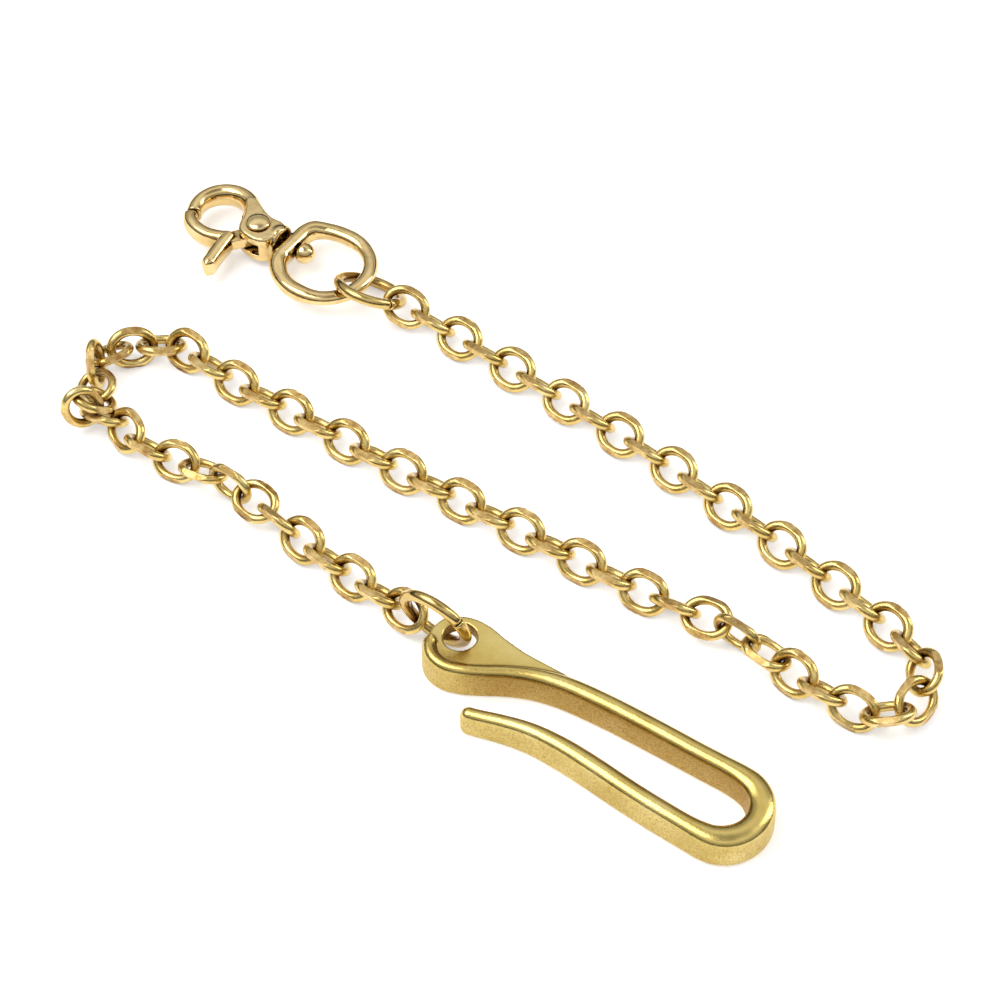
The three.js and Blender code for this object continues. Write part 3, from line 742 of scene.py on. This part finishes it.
# ---------- clasp ----------
def make_clasp_body():
    x0, y0, radius = EYE_LOOP
    rings = []
    for i in range(121):
        u = i / 120
        a = math.radians(12 + (214 - 12) * u)
        w = 2.3 + (1.75 - 2.3) * u
        h = 3.1 + (2.2 - 3.1) * u
        cap = math.sqrt(max(0.55, min(1, (1 - u) / 0.006)))
        ring = []
        for s, z in oval(w * cap, h * cap, 2.25, 40):
            reach = radius + s
            ring.append((x0 + reach * math.cos(a), y0 + reach * math.sin(a), AXIS_Z + z))
        rings.append(ring)
    hook = skin(rings, False)

    edge = [(-79.6, 33.3), (-82.8, 33.6), (-85.2, 34.3), (-87.6, 35.4), (-90.2, 36.4), (-91.6, 35.6),
            (-90.2, 33.2), (-89.0, 30.9), (-88.3, 28.6), (-87.2, 26.7), (-84.8, 25.85), (-81.6, 25.9),
            (-79.6, 27.4)]
    _, rounded, _ = curve(edge, 88, True)
    half = CLASP_THICK / 2
    cheeks = prism([tuple(p) for p in rounded], AXIS_Z - half, AXIS_Z + half, 0.45)

    profile = [(0, -84.0), (2.6, -84.0), (3.1, -82.0), (3.5, -80.9), (3.75, -80.3), (3.85, -79.8),
               (3.8, -79.2), (3.6, -78.8), (3.2, -78.6), (0, -78.6)]
    neck = lathe(profile, 60, lambda r, x, a: (x, AXIS_Y + r * math.cos(a), AXIS_Z + r * math.sin(a)))

    slot_half = SLOT / 2
    slot = box_of(-90.2, -81.6, 22.2, 36.2, AXIS_Z - slot_half, AXIS_Z + slot_half)
    slot_side = box_of(-95.6, -90.2, 22.2, 26.0, AXIS_Z - slot_half, AXIS_Z + slot_half)
    slot_end = box_of(-90.7, -82.6, 21.75, 28.25, AXIS_Z - slot_half, AXIS_Z + slot_half)
    cast("clasp_body_fine", [hook, cheeks, neck], [slot, slot_side, slot_end], 0.17, 5,
         CLASP, "clasp_body", ("clasp_body",))


def make_trigger_lever():
    jaw_plan = [(-86.6, 27.2), (-88.6, 25.2), (-91.0, 23.9), (-94.0, 23.2), (-97.0, 23.6), (-99.1, 24.6),
                (-100.35, 26.15)]
    half = LEVER_THICK / 2

    def jaw_section(u):
        h = 1.25 + (half * 0.95 - 1.25) * smoothstep(u, 0.08, 0.2)
        return [(s, AXIS_Z + z) for s, z in oval(1.65, h, 2.6)]

    def thumb_section(u):
        nose = math.sqrt(max(0.05, min(1, (1 - u) / 0.12)))
        return [(s, AXIS_Z + z) for s, z in oval(1.75 * nose, half * (0.75 + 0.25 * nose), 2.5)]

    jaw = strip(jaw_plan, 80, jaw_section)
    thumb_plan = [(-88.9, 25.6), (-88.7, 22.6), (-88.3, 19.4), (-87.8, 16.6), (-87.5, 14.9)]
    thumb = strip(thumb_plan, 60, thumb_section)
    hub_half = LEVER_HUB / 2
    hub = prism([(RIVET["x"] + 2.6 * math.cos(a), RIVET["y"] + 2.6 * math.sin(a))
                 for a in np.linspace(0, 2 * math.pi, 48, endpoint=False)],
                AXIS_Z - hub_half, AXIS_Z + hub_half)
    corners = [(2.8, 1.7), (-2.8, 1.7), (-2.8, -1.7), (2.8, -1.7)]
    c, s = math.cos(math.radians(52)), math.sin(math.radians(52))
    arm = prism([(-86.6 + x * c - y * s, 27.4 + x * s + y * c) for x, y in corners],
                AXIS_Z - hub_half, AXIS_Z + hub_half)
    hole = prism([(RIVET["x"] + 1.5 * math.cos(a), RIVET["y"] + 1.5 * math.sin(a))
                  for a in np.linspace(0, 2 * math.pi, 40, endpoint=False)], AXIS_Z - 3, AXIS_Z + 3)
    pocket = prism([(RIVET["x"] + 2.8 * math.cos(a), RIVET["y"] + 2.8 * math.sin(a))
                    for a in np.linspace(0, 2 * math.pi, 40, endpoint=False)], AXIS_Z - 0.3, AXIS_Z + 2.1)
    cast("trigger_lever_fine", [jaw, thumb, hub, arm], [hole, pocket], 0.17, 3,
         CLASP, "trigger_lever", ("trigger_lever",))


def make_trigger_rivet():
    top = CLASP_THICK / 2 + 0.3
    below = [(r, -z) for r, z in reversed(dome(RIVET["head"], top, 0.6))]
    profile = below + [(RIVET["shank"], -top), (RIVET["shank"], top)] + dome(RIVET["head"], top, 0.85)
    points, faces = lathe(profile, 48, lambda r, z, a: (
        RIVET["x"] + r * math.cos(a), RIVET["y"] + r * math.sin(a), AXIS_Z + z))
    piece("trigger_rivet_fine", points, faces, CLASP, "clasp_body", ("trigger_rivet",))


# ---------- floor, light and camera ----------
def make_floor():
    bpy.ops.mesh.primitive_plane_add(size=6, location=(0, 0, 0))
    floor = bpy.context.object
    floor.name = "floor"
    n = Nodes("paper")
    tone = n.ramp(n.noise(3, 2, 0.5), [(0.3, srgb(244, 244, 244)), (0.7, srgb(247, 247, 247))])
    n.shader.inputs["Emission Color"].default_value = (1, 1, 1, 1)
    n.shader.inputs["Emission Strength"].default_value = 0.4
    n.finish(tone, n.span(n.noise(60, 2, 0.5), 0.85, 0.95), n.bump(n.noise(900, 2, 0.5), 0.00002, 0.2), 0.0)
    floor.data.materials.append(n.material)


def make_light(name, place, size, power, tint=(1, 1, 1)):
    lamp = bpy.data.lights.new(name, "AREA")
    lamp.shape = "RECTANGLE"
    lamp.size, lamp.size_y = size
    lamp.energy = power
    lamp.color = tint
    thing = bpy.data.objects.new(name, lamp)
    bpy.context.scene.collection.objects.link(thing)
    thing.location = place
    thing.rotation_mode = "QUATERNION"
    thing.rotation_quaternion = Vector(place).to_track_quat("Z", "Y")
    return thing


def make_world():
    world = bpy.data.worlds.new("studio")
    bpy.context.scene.world = world
    world.use_nodes = True
    tree = world.node_tree
    where = tree.nodes.new("ShaderNodeTexCoord")
    split = tree.nodes.new("ShaderNodeSeparateXYZ")
    ramp = tree.nodes.new("ShaderNodeValToRGB")
    tree.links.new(where.outputs["Generated"], split.inputs["Vector"])
    tree.links.new(split.outputs["Z"], ramp.inputs["Fac"])
    stops = [(0.0, 0.04), (0.32, 0.05), (0.4, 0.75), (0.5, 0.4), (0.64, 0.5), (0.75, 0.98), (0.88, 0.92),
             (0.95, 0.35)]
    elements = ramp.color_ramp.elements
    while len(elements) < len(stops):
        elements.new(0.5)
    for element, (place, value) in zip(elements, stops):
        element.position = place
        element.color = (value, value, value, 1)
    tree.links.new(ramp.outputs["Color"], tree.nodes["Background"].inputs["Color"])
    tree.nodes["Background"].inputs["Strength"].default_value = 1.0


def make_camera():
    distance, view_width, sensor = 600.0, 206.0, 36.0
    elevation, azimuth = math.radians(50), math.radians(-56)
    target = placed(0, 0, 0)
    away = Vector((math.cos(elevation) * math.cos(azimuth), math.cos(elevation) * math.sin(azimuth),
                   math.sin(elevation)))
    data = bpy.data.cameras.new("camera")
    data.sensor_width = sensor
    data.lens = sensor * distance / view_width
    thing = bpy.data.objects.new("camera", data)
    bpy.context.scene.collection.objects.link(thing)
    thing.location = target + away * distance * MM
    thing.rotation_mode = "QUATERNION"
    thing.rotation_quaternion = away.to_track_quat("Z", "Y")
    bpy.context.scene.camera = thing


make_links()
make_ring("hook_jump_ring", HOOK_RING, -35)
make_ring("clasp_jump_ring", CLASP_RING, -23)
make_belt_hook()
make_swivel_ring()
make_swivel_pin()
make_clasp_body()
make_trigger_lever()
make_trigger_rivet()
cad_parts["trigger_spring"].data.materials.clear()
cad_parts["trigger_spring"].data.materials.append(STEEL)
make_floor()
make_world()
make_light("key", (-0.35, -0.25, 0.8), (0.6, 0.6), 4)
make_light("fill", (0.5, 0.6, 0.45), (0.2, 0.6), 2)
make_camera()
bpy.context.scene.view_settings.view_transform = "Standard"
